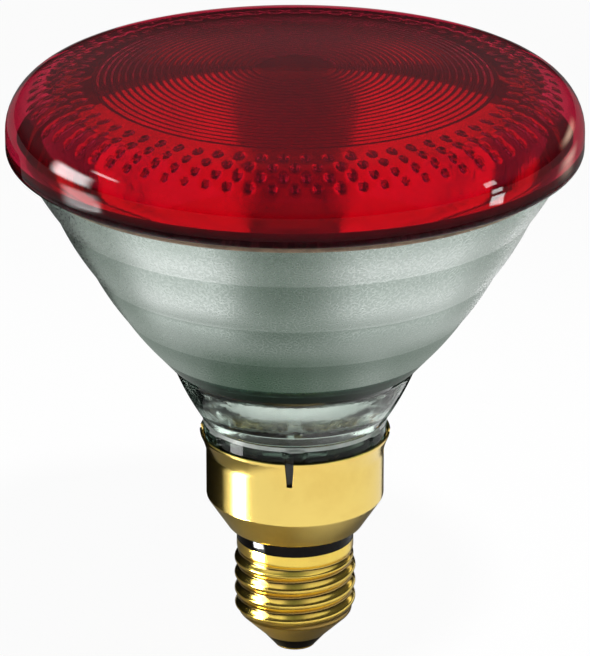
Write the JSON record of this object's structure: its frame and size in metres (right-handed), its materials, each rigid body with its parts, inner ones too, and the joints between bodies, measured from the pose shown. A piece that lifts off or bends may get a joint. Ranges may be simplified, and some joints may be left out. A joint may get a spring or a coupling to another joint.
{
  "type": "infrared heat lamp bulb",
  "caption": "Infrared heat lamp bulb with a red domed lens on a banded glass reflector, a slotted brass skirt and a brass screw cap.",
  "frame": {"origin": "middle of the contact's bottom face", "axes": "+Z along the lamp's axis from the contact to the lens; -Y is the side that the picture shows"},
  "size_m": [0.1208, 0.1208, 0.134],
  "materials": {
    "red_glass": "pressed red glass, smooth outside, relief inside",
    "clear_glass": "pressed clear glass, silvered inside, satin bands outside",
    "seal_compound": "matt sealing compound",
    "skirt_brass": "satin drawn brass",
    "shell_brass": "bright rolled brass",
    "black_glass": "glossy black glass",
    "solder": "dull solder",
    "nickel_iron": "plain nickel-iron",
    "tungsten": "dull tungsten",
    "copper_wire": "bare copper wire"
  },
  "bodies": {
    "root": {"lens": "red_glass", "rim_seal": "seal_compound", "reflector": "clear_glass", "exhaust_tube": "clear_glass", "glass_bridge": "clear_glass", "skirt": "skirt_brass", "screw_shell": "shell_brass", "centre_contact": "shell_brass", "skirt_insulator": "black_glass", "base_insulator": "black_glass", "contact_solder": "solder", "ferrule_right": "nickel_iron", "ferrule_left": "nickel_iron", "lead_post_right": "nickel_iron", "lead_post_left": "nickel_iron", "filament_hook": "tungsten", "filament": "tungsten", "live_wire": "copper_wire", "return_wire": "copper_wire"}
  },
  "joints": []
}
